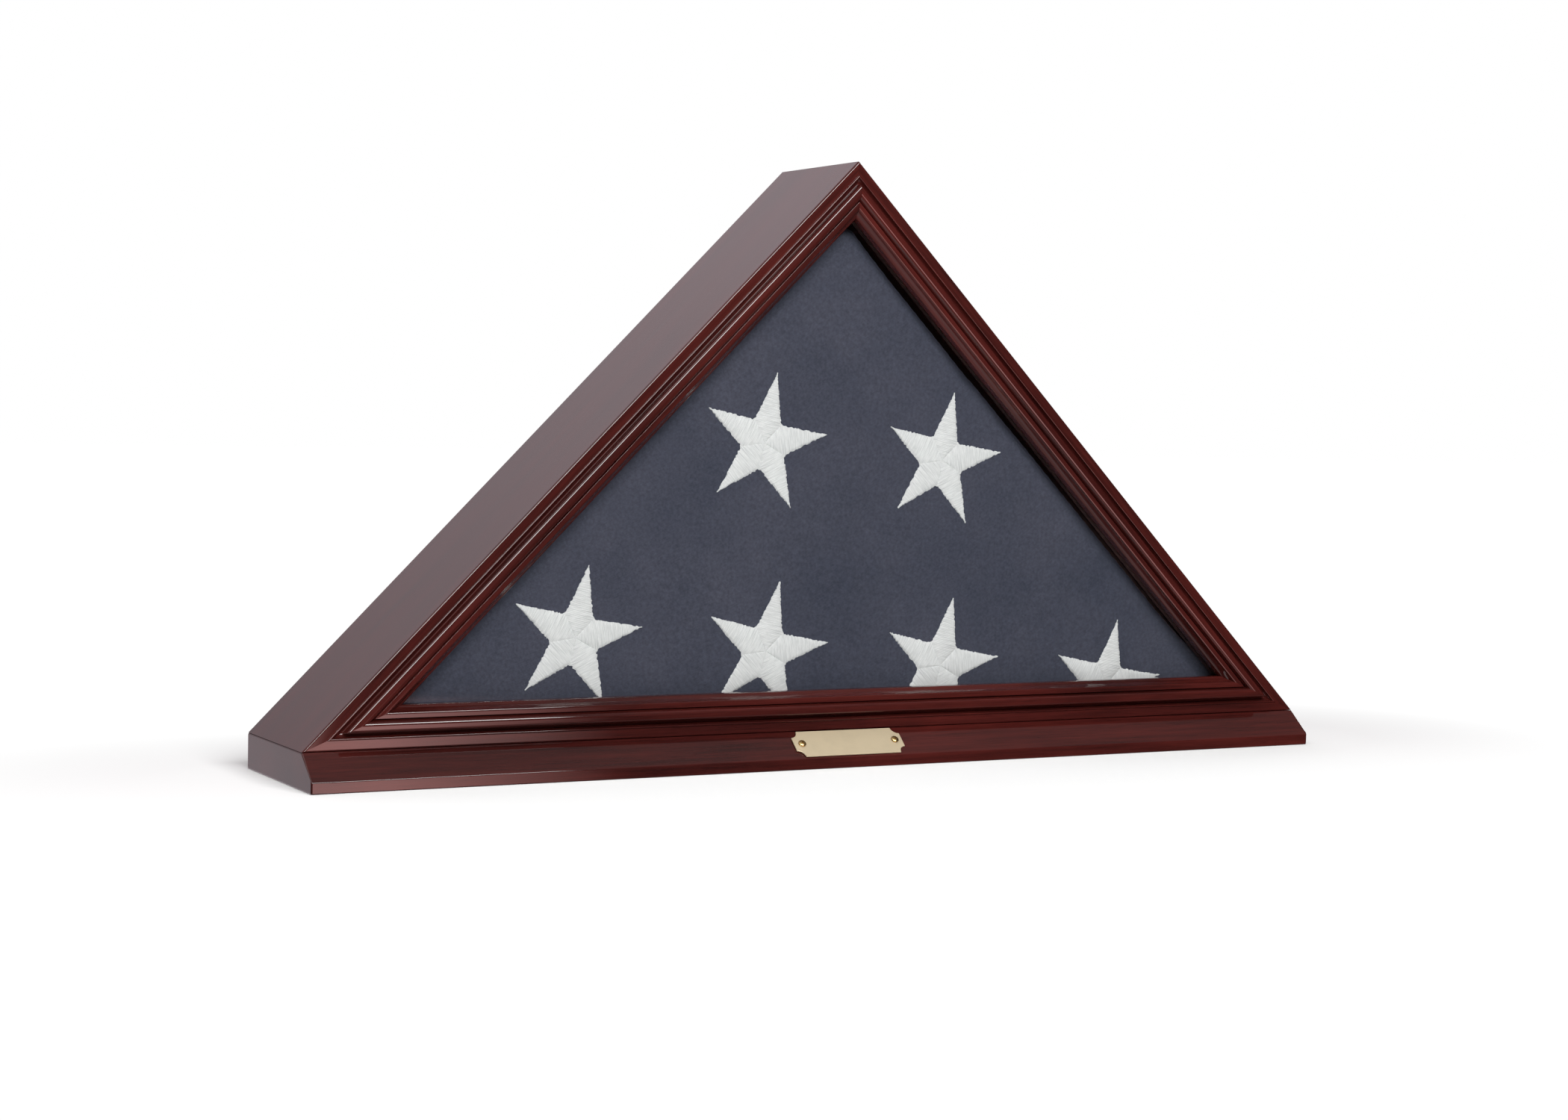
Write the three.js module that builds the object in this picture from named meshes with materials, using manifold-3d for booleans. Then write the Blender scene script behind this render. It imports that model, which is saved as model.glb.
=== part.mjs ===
// Folded flag display case: a triangular wooden box with a moulded, glazed front on a plinth board.
// Millimetres, +Z up, +X to the right, front towards -Y. The origin is the centre of the footprint.

import * as THREE from 'three';
import { mergeVertices } from 'three/addons/utils/BufferGeometryUtils.js';
import Module from 'manifold-3d';

const wasm = await Module();
wasm.setup();

// ---- driving dimensions ----------------------------------------------------------------------
const WIDTH = 622.3; // overall, 24.5 in
const HEIGHT = 330.2; // overall, 13 in
const BODY_DEPTH = 88.9; // frame's flat front face to the box's back edge, 3.5 in
const PLINTH_PROJECTION = 14.8; // the plinth's lip in front of the frame's flat face
const PLINTH_THICKNESS = 19.05;
const LIP_HEIGHT = 6;
const BOARD_THICKNESS = 15.9; // the two sloping side boards
const GAP = 0.3; // between pieces that touch
const EDGE_RADIUS = 1; // eased outer edge of the moulding

const RAIL_DEPTH = 12.7; // behind the moulding's flat face
const SIGHT_INSET = 22; // outer face to the sight edge
const SIGHT_SETBACK = 2.8; // sight edge behind the flat face
const REBATE_DEPTH = 6.5; // flat face to the glass rebate
const REBATE_INSET = 17;

const GLASS_THICKNESS = 2.4;
const GLASS_INSET = 17.8;
const GLASS_CORNER_CLIP = 3;
const STOP_WIDTH = 4;
const STOP_THICKNESS = 2.9;

const PANEL_THICKNESS = 5.7;
const PANEL_REBATE_DEPTH = 6;
const BACK_EDGE = 10.4; // what the panel rebate leaves of a side board's back edge
const PANEL_CORNER_CLIP = 6;

const FLAG_INSET = 16.7;
const FLAG_FRONT = 13.6; // behind the moulding's flat face
const FLAG_BACK = 80;
const FLAG_CROWN = 4; // how far the rolled edges fall away from the flat faces
const FLAG_CORNER_CLIP = 7; // the folded corners are blunt

const BUTTON_LENGTH = 28;
const BUTTON_WIDTH = 8.4;
const BUTTON_THICKNESS = 1.6;
const BUTTON_SCREW = { shank: 1.5, head: 3.1, headHeight: 1.5, length: 13 };
const BUTTON_SPACING = 170; // between the two buttons on a side board
const BUTTON_SPACING_BELOW = 240; // between the two on the plinth board

const PLATE_LENGTH = 68;
const PLATE_HEIGHT = 17.8;
const PLATE_THICKNESS = 0.8;
const PLATE_SCOOP = 4.2;
const PLATE_CENTRE_X = -3;
const PLATE_SCREW = { shank: 0.9, head: 2.2, headHeight: 1.1, length: 8 };
const PLATE_SCREW_INSET = 4.8;

const BASE_SCREW = { shank: 1.7, head: 3.9, coneHeight: 2.6, tipHeight: 28 };
const BASE_SCREW_X = 296;
const BASE_SCREW_BEHIND_FACE = [30, 72];
const BASE_SCREW_RECESS = 0.8;

const ROUND_SEGMENTS = 16;

// ---- derived places --------------------------------------------------------------------------
const BUTTON_STACK = BUTTON_THICKNESS + BUTTON_SCREW.headHeight + 2 * GAP;
const TOTAL_DEPTH = PLINTH_PROJECTION + BODY_DEPTH + BUTTON_STACK;
const LIP_Y = -TOTAL_DEPTH / 2;
const FACE_Y = LIP_Y + PLINTH_PROJECTION; // the moulding's flat face
const BACK_Y = FACE_Y + BODY_DEPTH;
const HALF_WIDTH = WIDTH / 2;
const SLOPE = Math.atan2(HEIGHT - PLINTH_THICKNESS, HALF_WIDTH); // of the side boards, 45 degrees
const APEX = new THREE.Vector2(0, HEIGHT);
const LEFT_FOOT = new THREE.Vector2(-HALF_WIDTH, PLINTH_THICKNESS);
const RIGHT_FOOT = new THREE.Vector2(HALF_WIDTH, PLINTH_THICKNESS);
const GLASS_FRONT = REBATE_DEPTH + GAP;
const GLASS_BACK = GLASS_FRONT + GLASS_THICKNESS;
const PANEL_FRONT = BODY_DEPTH - PANEL_REBATE_DEPTH + GAP;

const cot = (angle) => 1 / Math.tan(angle);
const FOOT_HALF_ANGLE = SLOPE / 2;
const APEX_HALF_ANGLE = Math.PI / 2 - SLOPE;

// ---- materials -------------------------------------------------------------------------------
const finish = (color, roughness, metalness = 0) => ({ color, roughness, metalness });
const LACQUERED_WOOD = finish(0x4a1c18, 0.25);
const RAW_WOOD = finish(0x6b3a2a, 0.7);
const GLASS = finish(0xdfe9ea, 0.05);
const FLAG_CLOTH = finish(0x2f3546, 0.9);
const BACK_BOARD = finish(0x2a2625, 0.85);
const BRASS = finish(0xc9b183, 0.3, 0.9);
const STEEL = finish(0xb9b9b6, 0.35, 0.9);

// ---- geometry helpers ------------------------------------------------------------------------

/** Indexed geometry that keeps positions only, with its shared vertices merged. */
function positionsOnly(geometry) {
  const bare = geometry.index ? geometry.toNonIndexed() : geometry.clone();
  bare.deleteAttribute('normal');
  bare.deleteAttribute('uv');
  return mergeVertices(bare, 1e-4);
}

function toManifold(geometry) {
  const bare = positionsOnly(geometry);
  return new wasm.Manifold(new wasm.Mesh({
    numProp: 3,
    vertProperties: new Float32Array(bare.attributes.position.array),
    triVerts: new Uint32Array(bare.index.array),
  }));
}

function fromManifold(solid) {
  const mesh = solid.getMesh();
  const geometry = new THREE.BufferGeometry();
  geometry.setAttribute('position', new THREE.BufferAttribute(new Float32Array(mesh.vertProperties), 3));
  geometry.setIndex(new THREE.BufferAttribute(new Uint32Array(mesh.triVerts), 1));
  return geometry;
}

/** The geometry less each of the cutting geometries. */
function cut(geometry, cutters) {
  const solid = cutters.reduce((rest, cutter) => rest.subtract(toManifold(cutter)), toManifold(geometry));
  return fromManifold(solid);
}

/** Points on an ellipse's arc, as [across, behind] pairs. */
function arc(centre, radii, fromDegrees, toDegrees, steps) {
  return Array.from({ length: steps + 1 }, (_, i) => {
    const angle = THREE.MathUtils.degToRad(fromDegrees + ((toDegrees - fromDegrees) * i) / steps);
    return [centre[0] + radii[0] * Math.cos(angle), centre[1] + radii[1] * Math.sin(angle)];
  });
}

function shapeOf(points) {
  return new THREE.Shape(points.map(([x, y]) => new THREE.Vector2(x, y)));
}

/**
 * One side of the triangle: a run from one corner to the next, clockwise seen from the front.
 * "inset" is measured square to the run into the triangle, "behind" from the moulding's flat face.
 */
function makeRun(from, to) {
  const along = to.clone().sub(from).normalize();
  const inward = new THREE.Vector2(along.y, -along.x);
  return {
    along,
    inward,
    length: from.distanceTo(to),
    place(distance, inset, behind) {
      return new THREE.Vector3(
        from.x + along.x * distance + inward.x * inset,
        FACE_Y + behind,
        from.y + along.y * distance + inward.y * inset,
      );
    },
  };
}
const LEFT_RUN = makeRun(LEFT_FOOT, APEX);
const RIGHT_RUN = makeRun(APEX, RIGHT_FOOT);
const BOTTOM_RUN = makeRun(RIGHT_FOOT, LEFT_FOOT);

/** The end cut of a bar: how far it starts from the corner, growing with the inset. */
function endCut(halfAngle, gap = GAP) {
  return { perInset: cot(halfAngle), offset: gap / 2 / Math.sin(halfAngle) };
}
const FOOT_MITRE = endCut(FOOT_HALF_ANGLE);
const APEX_MITRE = endCut(APEX_HALF_ANGLE);
const STANDING_CUT = endCut(SLOPE, 2 * GAP); // level, a gap above the plinth board

/** A bar of the given [inset, behind] section along a run, with its two end cuts. */
function bar(run, section, startCut, finishCut) {
  const geometry = new THREE.ExtrudeGeometry(shapeOf(section), { depth: 1, bevelEnabled: false });
  const position = geometry.attributes.position;
  for (let i = 0; i < position.count; i += 1) {
    const inset = position.getX(i);
    const start = startCut.offset + startCut.perInset * inset;
    const end = run.length - finishCut.offset - finishCut.perInset * inset;
    const point = run.place(THREE.MathUtils.lerp(start, end, position.getZ(i)), inset, position.getY(i));
    position.setXYZ(i, point.x, point.y, point.z);
  }
  return positionsOnly(geometry);
}

/** A flat plate in the X-Z plane, from its outline in [x, z], between two depths behind the face. */
function upright(shape, front, back, bevel = null) {
  const edge = bevel ? bevel.depth : 0;
  const options = { depth: back - front - 2 * edge, bevelEnabled: false, curveSegments: 6 };
  if (bevel) {
    Object.assign(options, {
      bevelEnabled: true, bevelThickness: bevel.depth, bevelSize: bevel.inset,
      bevelOffset: -bevel.inset, bevelSegments: bevel.steps,
    });
  }
  const geometry = new THREE.ExtrudeGeometry(shape, options);
  geometry.rotateX(Math.PI / 2);
  geometry.translate(0, FACE_Y + back - edge, 0);
  return positionsOnly(geometry);
}

/** The triangle inside the box, inset from the sloping faces, standing on a given level. */
function triangleCorners(inset, floor) {
  const top = HEIGHT - inset / Math.cos(SLOPE);
  const half = (top - floor) / Math.tan(SLOPE);
  return [new THREE.Vector2(-half, floor), new THREE.Vector2(half, floor), new THREE.Vector2(0, top)];
}

/** A closed outline with each corner clipped straight, a given length back along both its edges. */
function clippedOutline(corners, cutBack) {
  return new THREE.Shape(corners.flatMap((corner, i) => {
    const before = corners[(i + corners.length - 1) % corners.length];
    const after = corners[(i + 1) % corners.length];
    return [before, after].map((other) => corner.clone().add(other.clone().sub(corner).setLength(cutBack)));
  }));
}

/** Turns a solid made along +Z so that it points along a direction, then moves it to a place. */
function aim(geometry, direction, place) {
  const turn = new THREE.Quaternion().setFromUnitVectors(new THREE.Vector3(0, 0, 1), direction);
  geometry.applyQuaternion(turn);
  geometry.translate(place.x, place.y, place.z);
  return positionsOnly(geometry);
}

function lathe(profile) {
  const points = profile.map(([radius, height]) => new THREE.Vector2(radius, height));
  const geometry = new THREE.LatheGeometry(points, ROUND_SEGMENTS);
  geometry.rotateX(Math.PI / 2);
  return geometry;
}

/** A domed screw: the shank points along -Z from the seat at the origin, the head rises along +Z. */
function domedScrew({ shank, head, headHeight, length }) {
  const tip = shank * 2;
  return lathe([
    [0, -length], [shank, -length + tip], [shank, 0], [head, 0],
    [head * 0.93, headHeight * 0.5], [head * 0.6, headHeight * 0.9], [0, headHeight],
  ]);
}

/** The hole a screw goes into: from above its seat down past its tip. */
function pilotHole({ shank, length }) {
  const radius = shank + GAP;
  return lathe([[0, -length - 1], [radius, -length - 1], [radius, 5], [0, 5]]);
}

// ---- the moulding's section ------------------------------------------------------------------
// Outer edge to sight edge: eased arris, flat band, fine bead, quirk, ovolo, fillet, cove.
const FLAT_BAND_END = 5.3;
const BEAD_TOP = 0.7;
const QUIRK_DEPTH = 1.1;
const CREST_HEIGHT = 3.5;
const MOULDING_FACE = [
  ...arc([EDGE_RADIUS, EDGE_RADIUS], [EDGE_RADIUS, EDGE_RADIUS], 180, 270, 4),
  [FLAT_BAND_END, 0],
  ...arc([FLAT_BAND_END + 0.6, 0], [0.55, BEAD_TOP], 180, 360, 4),
  [FLAT_BAND_END + 1.5, QUIRK_DEPTH],
  [FLAT_BAND_END + 3.1, QUIRK_DEPTH],
  ...arc([12.4, 0.1], [3.6, CREST_HEIGHT + 0.1], 195, 270, 6),
  ...arc([12.9, -1.7], [1.9, CREST_HEIGHT - 1.7], 276, 360, 4),
  [14.9, -1.3],
  [15.3, -1.5],
  [17.7, -1.1],
  ...arc([17.8, 0.1], [1.2, 1.2], 275, 350, 3),
  [21.4, 2.1],
  [SIGHT_INSET, SIGHT_SETBACK],
];

const RAIL_BACK_STEP = [
  [SIGHT_INSET, REBATE_DEPTH], [REBATE_INSET, REBATE_DEPTH], [REBATE_INSET, RAIL_DEPTH],
];
const MITRED_RAIL = [...MOULDING_FACE, ...RAIL_BACK_STEP, [RAIL_DEPTH - EDGE_RADIUS, RAIL_DEPTH]];
const SQUARE_RAIL = [...MOULDING_FACE, ...RAIL_BACK_STEP, [0, RAIL_DEPTH]];

// ---- the pieces ------------------------------------------------------------------------------
const object = new THREE.Group();

function addPiece(name, geometry, look) {
  const mesh = new THREE.Mesh(geometry, new THREE.MeshStandardMaterial(look));
  mesh.name = name;
  object.add(mesh);
}

// Turn buttons: two on each board's back edge, turned aside at rest, with the tongue along the edge.
function buttonPair(run, middle, spacing, inset, tongueDirections) {
  return tongueDirections.map((direction, i) => ({
    seat: run.place(middle + (i - 0.5) * spacing, inset, BODY_DEPTH + GAP),
    tongue: run.along.clone().multiplyScalar(direction),
  }));
}
const BOARD_MIDDLE = LEFT_RUN.length / 2;
const LEFT_BUTTONS = buttonPair(LEFT_RUN, BOARD_MIDDLE, BUTTON_SPACING, BACK_EDGE / 2, [-1, -1]);
const RIGHT_BUTTONS = buttonPair(RIGHT_RUN, BOARD_MIDDLE, BUTTON_SPACING, BACK_EDGE / 2, [1, 1]);
const BOTTOM_BUTTONS = buttonPair(BOTTOM_RUN, WIDTH / 2, BUTTON_SPACING_BELOW, -BACK_EDGE / 2, [-1, 1]);
const BUTTONS = [...LEFT_BUTTONS, ...RIGHT_BUTTONS, ...BOTTOM_BUTTONS];
const BACKWARDS = new THREE.Vector3(0, 1, 0);

const buttonPilots = (buttons) => buttons.map(({ seat }) => {
  const surface = seat.clone().setY(BACK_Y);
  return aim(pilotHole({ ...BUTTON_SCREW, length: BUTTON_SCREW.length - BUTTON_THICKNESS }), BACKWARDS, surface);
});

// Nameplate: lies on the plinth's sloping face.
const SLOPE_START = new THREE.Vector3(0, LIP_Y, LIP_HEIGHT);
const SLOPE_END = new THREE.Vector3(0, FACE_Y, PLINTH_THICKNESS);
const SLOPE_UP = SLOPE_END.clone().sub(SLOPE_START).normalize();
const SLOPE_OUT = new THREE.Vector3(0, -SLOPE_UP.z, SLOPE_UP.y);
const PLATE_CENTRE = SLOPE_START.clone().add(SLOPE_END).multiplyScalar(0.5).setX(PLATE_CENTRE_X);
const PLATE_SCREW_X = [-1, 1].map((side) => PLATE_CENTRE_X + side * (PLATE_LENGTH / 2 - PLATE_SCREW_INSET));
const PLATE_STACK = GAP + PLATE_THICKNESS;

function plateScrewSeat(x, lift) {
  return PLATE_CENTRE.clone().setX(x).addScaledVector(SLOPE_OUT, lift);
}

function nameplate() {
  const halfLength = PLATE_LENGTH / 2;
  const halfHeight = PLATE_HEIGHT / 2;
  const shape = new THREE.Shape();
  shape.moveTo(-halfLength + PLATE_SCOOP, -halfHeight);
  shape.lineTo(halfLength - PLATE_SCOOP, -halfHeight);
  shape.absarc(halfLength, -halfHeight, PLATE_SCOOP, Math.PI, Math.PI / 2, true);
  shape.lineTo(halfLength, halfHeight - PLATE_SCOOP);
  shape.absarc(halfLength, halfHeight, PLATE_SCOOP, -Math.PI / 2, -Math.PI, true);
  shape.lineTo(-halfLength + PLATE_SCOOP, halfHeight);
  shape.absarc(-halfLength, halfHeight, PLATE_SCOOP, 0, -Math.PI / 2, true);
  shape.lineTo(-halfLength, -halfHeight + PLATE_SCOOP);
  shape.absarc(-halfLength, -halfHeight, PLATE_SCOOP, Math.PI / 2, 0, true);
  PLATE_SCREW_X.forEach((x) => {
    const hole = new THREE.Path();
    hole.absarc(x - PLATE_CENTRE_X, 0, PLATE_SCREW.shank + GAP, 0, 2 * Math.PI);
    shape.holes.push(hole);
  });
  const geometry = new THREE.ExtrudeGeometry(shape, {
    depth: PLATE_THICKNESS, bevelEnabled: false, curveSegments: 6,
  });
  const basis = new THREE.Matrix4().makeBasis(new THREE.Vector3(1, 0, 0), SLOPE_UP, SLOPE_OUT);
  geometry.applyMatrix4(basis);
  const seat = PLATE_CENTRE.clone().addScaledVector(SLOPE_OUT, GAP);
  geometry.translate(seat.x, seat.y, seat.z);
  return positionsOnly(geometry);
}

// Base screws: up through the plinth board into the feet of the side boards.
const BASE_SCREWS = ['left', 'right'].flatMap((side) => BASE_SCREW_BEHIND_FACE.map((behind, i) => ({
  name: `base_screw_${side}_${i === 0 ? 'front' : 'rear'}`,
  side,
  place: new THREE.Vector3(side === 'left' ? -BASE_SCREW_X : BASE_SCREW_X, FACE_Y + behind, 0),
})));

function baseScrew({ place }) {
  const { shank, head, coneHeight, tipHeight } = BASE_SCREW;
  const geometry = lathe([
    [0, BASE_SCREW_RECESS], [head, BASE_SCREW_RECESS], [shank, BASE_SCREW_RECESS + coneHeight],
    [shank, tipHeight - 2 * shank], [0, tipHeight],
  ]);
  geometry.translate(place.x, place.y, 0);
  return positionsOnly(geometry);
}

function baseScrewHole({ place }, fromHeight, toHeight) {
  const radius = BASE_SCREW.shank + GAP;
  const geometry = lathe([[0, fromHeight], [radius, fromHeight], [radius, toHeight], [0, toHeight]]);
  geometry.translate(place.x, place.y, 0);
  return geometry;
}

function countersink({ place }) {
  const mouth = BASE_SCREW.head + GAP;
  const throat = BASE_SCREW.shank + GAP;
  const flare = BASE_SCREW_RECESS + GAP;
  const geometry = lathe([
    [0, -1], [mouth, -1], [mouth, flare], [throat, flare + BASE_SCREW.coneHeight], [0, flare + BASE_SCREW.coneHeight],
  ]);
  geometry.translate(place.x, place.y, 0);
  return geometry;
}

// Plinth board: one profile over the whole width, with a lip and a sloping front.
function plinthBoard() {
  const profile = shapeOf([
    [LIP_Y, 0], [BACK_Y, 0], [BACK_Y, PLINTH_THICKNESS], [FACE_Y, PLINTH_THICKNESS], [LIP_Y, LIP_HEIGHT],
  ]);
  const board = new THREE.ExtrudeGeometry(profile, { depth: WIDTH, bevelEnabled: false });
  const basis = new THREE.Matrix4().makeBasis(
    new THREE.Vector3(0, 1, 0), new THREE.Vector3(0, 0, 1), new THREE.Vector3(1, 0, 0),
  );
  board.applyMatrix4(basis);
  board.translate(-HALF_WIDTH, 0, 0);
  const platePilots = PLATE_SCREW_X.map((x) => aim(
    pilotHole({ ...PLATE_SCREW, length: PLATE_SCREW.length - PLATE_THICKNESS }), SLOPE_OUT, plateScrewSeat(x, 0),
  ));
  const baseHoles = BASE_SCREWS.flatMap((screw) => [
    baseScrewHole(screw, -1, PLINTH_THICKNESS + 1), countersink(screw),
  ]);
  return cut(board, [...platePilots, ...buttonPilots(BOTTOM_BUTTONS), ...baseHoles]);
}

// Side boards: mitred to the rails in front and to each other at the apex, rebated for the panel.
function sideBoard(run, startCut, finishCut, side, buttons) {
  const frontEdge = EDGE_RADIUS + GAP * Math.SQRT2;
  const section = [
    [0, frontEdge],
    [RAIL_DEPTH + GAP - frontEdge, RAIL_DEPTH + GAP],
    [BOARD_THICKNESS, RAIL_DEPTH + GAP],
    [BOARD_THICKNESS, BODY_DEPTH - PANEL_REBATE_DEPTH],
    [BACK_EDGE, BODY_DEPTH - PANEL_REBATE_DEPTH],
    [BACK_EDGE, BODY_DEPTH],
    [0, BODY_DEPTH],
  ];
  const board = bar(run, section, startCut, finishCut);
  const railEnvelope = [
    [-1, -CREST_HEIGHT - 1], [SIGHT_INSET + GAP, -CREST_HEIGHT - 1],
    [SIGHT_INSET + GAP, RAIL_DEPTH + GAP], [-1, RAIL_DEPTH + GAP],
  ];
  const looseMitre = endCut(FOOT_HALF_ANGLE, -GAP);
  const railNotch = bar(BOTTOM_RUN, railEnvelope, looseMitre, looseMitre);
  const screwHoles = BASE_SCREWS.filter((screw) => screw.side === side)
    .map((screw) => baseScrewHole(screw, PLINTH_THICKNESS - 1, BASE_SCREW.tipHeight + GAP));
  return cut(board, [railNotch, ...screwHoles, ...buttonPilots(buttons)]);
}

function turnButton({ tongue }) {
  const radius = BUTTON_WIDTH / 2;
  const reach = BUTTON_LENGTH - 2 * radius;
  const shape = new THREE.Shape();
  shape.absarc(0, 0, radius, Math.PI / 2, (3 * Math.PI) / 2);
  shape.absarc(reach, 0, radius, -Math.PI / 2, Math.PI / 2);
  shape.closePath();
  const hole = new THREE.Path();
  hole.absarc(0, 0, BUTTON_SCREW.shank + GAP, 0, 2 * Math.PI);
  shape.holes.push(hole);
  const geometry = new THREE.ExtrudeGeometry(shape, {
    depth: BUTTON_THICKNESS, bevelEnabled: false, curveSegments: 8,
  });
  const along = new THREE.Vector3(tongue.x, 0, tongue.y);
  const across = new THREE.Vector3().crossVectors(BACKWARDS, along);
  geometry.applyMatrix4(new THREE.Matrix4().makeBasis(along, across, BACKWARDS));
  return geometry;
}

addPiece('plinth_board', plinthBoard(), LACQUERED_WOOD);
addPiece('side_board_left', sideBoard(LEFT_RUN, STANDING_CUT, APEX_MITRE, 'left', LEFT_BUTTONS), LACQUERED_WOOD);
addPiece('side_board_right', sideBoard(RIGHT_RUN, APEX_MITRE, STANDING_CUT, 'right', RIGHT_BUTTONS), LACQUERED_WOOD);

addPiece('frame_rail_left', bar(LEFT_RUN, MITRED_RAIL, FOOT_MITRE, APEX_MITRE), LACQUERED_WOOD);
addPiece('frame_rail_right', bar(RIGHT_RUN, MITRED_RAIL, APEX_MITRE, FOOT_MITRE), LACQUERED_WOOD);
const bottomRail = bar(BOTTOM_RUN, SQUARE_RAIL, FOOT_MITRE, FOOT_MITRE);
bottomRail.translate(0, 0, GAP);
addPiece('frame_rail_bottom', bottomRail, LACQUERED_WOOD);

const glassOutline = clippedOutline(
  triangleCorners(GLASS_INSET, PLINTH_THICKNESS + GLASS_INSET), GLASS_CORNER_CLIP,
);
addPiece('glass_pane', upright(glassOutline, GLASS_FRONT, GLASS_BACK), GLASS);

const stopSection = [
  [REBATE_INSET + GAP, GLASS_BACK + GAP],
  [REBATE_INSET + GAP + STOP_WIDTH, GLASS_BACK + GAP],
  [REBATE_INSET + GAP + STOP_WIDTH, GLASS_BACK + GAP + STOP_THICKNESS],
  [REBATE_INSET + GAP, GLASS_BACK + GAP + STOP_THICKNESS],
];
const STOPS = { left: [LEFT_RUN, FOOT_MITRE, APEX_MITRE], right: [RIGHT_RUN, APEX_MITRE, FOOT_MITRE],
  bottom: [BOTTOM_RUN, FOOT_MITRE, FOOT_MITRE] };
Object.entries(STOPS).forEach(([side, [run, startCut, finishCut]]) => {
  addPiece(`glass_stop_${side}`, bar(run, stopSection, startCut, finishCut), RAW_WOOD);
});

const flagOutline = clippedOutline(
  triangleCorners(FLAG_INSET, PLINTH_THICKNESS + 2 * GAP), FLAG_CORNER_CLIP,
);
const flagEdge = { depth: FLAG_CROWN, inset: FLAG_CROWN, steps: 3 };
addPiece('folded_flag', upright(flagOutline, FLAG_FRONT, FLAG_BACK, flagEdge), FLAG_CLOTH);

const panelOutline = clippedOutline(
  triangleCorners(BACK_EDGE + GAP, PLINTH_THICKNESS + GAP), PANEL_CORNER_CLIP,
);
addPiece('back_panel', upright(panelOutline, PANEL_FRONT, PANEL_FRONT + PANEL_THICKNESS), BACK_BOARD);

BUTTONS.forEach((button, i) => {
  const geometry = turnButton(button);
  geometry.translate(button.seat.x, button.seat.y, button.seat.z);
  addPiece(`turn_button_${i + 1}`, positionsOnly(geometry), BRASS);
  const screwSeat = button.seat.clone().addScaledVector(BACKWARDS, BUTTON_THICKNESS + GAP);
  const screw = { ...BUTTON_SCREW, length: BUTTON_SCREW.length + 2 * GAP };
  addPiece(`turn_button_screw_${i + 1}`, aim(domedScrew(screw), BACKWARDS, screwSeat), BRASS);
});

addPiece('nameplate', nameplate(), BRASS);
PLATE_SCREW_X.forEach((x, i) => {
  const seat = plateScrewSeat(x, PLATE_STACK + GAP);
  addPiece(`nameplate_screw_${i === 0 ? 'left' : 'right'}`, aim(domedScrew(PLATE_SCREW), SLOPE_OUT, seat), BRASS);
});

BASE_SCREWS.forEach((screw) => addPiece(screw.name, baseScrew(screw), STEEL));

export default object;
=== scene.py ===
"""Looks of the folded flag display case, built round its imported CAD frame.

Metres, +Z up, +X to the right, front towards -Y. The object's own dimensions below are in
millimetres and are turned into metres where a point is placed.
"""

import math
import random

import bmesh
import bpy
from mathutils import Matrix, Vector, noise
from mathutils.bvhtree import BVHTree


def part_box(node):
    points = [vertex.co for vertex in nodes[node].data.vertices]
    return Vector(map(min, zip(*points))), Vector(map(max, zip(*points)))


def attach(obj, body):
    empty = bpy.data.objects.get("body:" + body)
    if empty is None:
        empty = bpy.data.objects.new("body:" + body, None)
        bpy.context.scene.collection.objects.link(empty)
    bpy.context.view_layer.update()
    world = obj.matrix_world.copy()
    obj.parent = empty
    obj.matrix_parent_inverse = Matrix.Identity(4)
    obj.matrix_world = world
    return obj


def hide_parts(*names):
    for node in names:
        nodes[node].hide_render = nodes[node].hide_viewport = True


MM = 0.001

# ---- driving dimensions, in millimetres ------------------------------------------------------
WIDTH = 622.3
HEIGHT = 330.2
BODY_DEPTH = 88.9  # moulding's flat face to the back edge
PLINTH_THICKNESS = 19.05
LIP_HEIGHT = 6
LIP_PROJECTION = 14.8
BOARD_THICKNESS = 15.9
SEAM = 0.12  # hairline between glued pieces
ARRIS = 1.0  # eased outer edges

RAIL_DEPTH = 12.7
SIGHT_INSET = 22
SIGHT_SETBACK = 2.8
REBATE_DEPTH = 6.5
REBATE_INSET = 17

PANEL_REBATE_DEPTH = 6
BACK_EDGE = 10.4

FLAG_FRONT = 12.9  # the cloth's flat front, behind the moulding's flat face
FLAG_BACK = 79.6
STAR_RADIUS = 39
STAR_INNER_RADIUS = 14.9
STAR_TILT = -10.5  # degrees; the flag's cloth lies this much off upright
STAR_RELIEF = 0.8

PLATE_LENGTH = 68
PLATE_HEIGHT = 17.8
PLATE_THICKNESS = 0.8
PLATE_SCOOP = 4.2

BUTTON_LENGTH = 28
BUTTON_WIDTH = 8.4
BUTTON_THICKNESS = 1.6

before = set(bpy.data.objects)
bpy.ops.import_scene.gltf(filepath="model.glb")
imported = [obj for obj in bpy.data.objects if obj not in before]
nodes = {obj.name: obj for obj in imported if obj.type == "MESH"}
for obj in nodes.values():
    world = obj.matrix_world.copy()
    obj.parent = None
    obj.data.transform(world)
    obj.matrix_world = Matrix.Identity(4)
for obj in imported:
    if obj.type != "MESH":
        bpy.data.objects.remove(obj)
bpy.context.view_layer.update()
plinth_low, plinth_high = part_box("plinth_board")
FACE_Y = plinth_low.y / MM + LIP_PROJECTION
BACK_Y = plinth_high.y / MM


# ---- runs: the triangle's three sides --------------------------------------------------------
class Run:
    """One side of the triangle, clockwise seen from the front, with points given along it,
    square to it into the triangle, and behind the moulding's flat face."""

    def __init__(self, start, end):
        self.start = Vector(start)
        self.length = (Vector(end) - self.start).length
        self.along = (Vector(end) - self.start).normalized()
        self.inward = Vector((self.along.y, -self.along.x))

    def place(self, distance, inset, behind):
        flat = self.start + self.along * distance + self.inward * inset
        return Vector((flat.x, FACE_Y + behind, flat.y)) * MM


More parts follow.
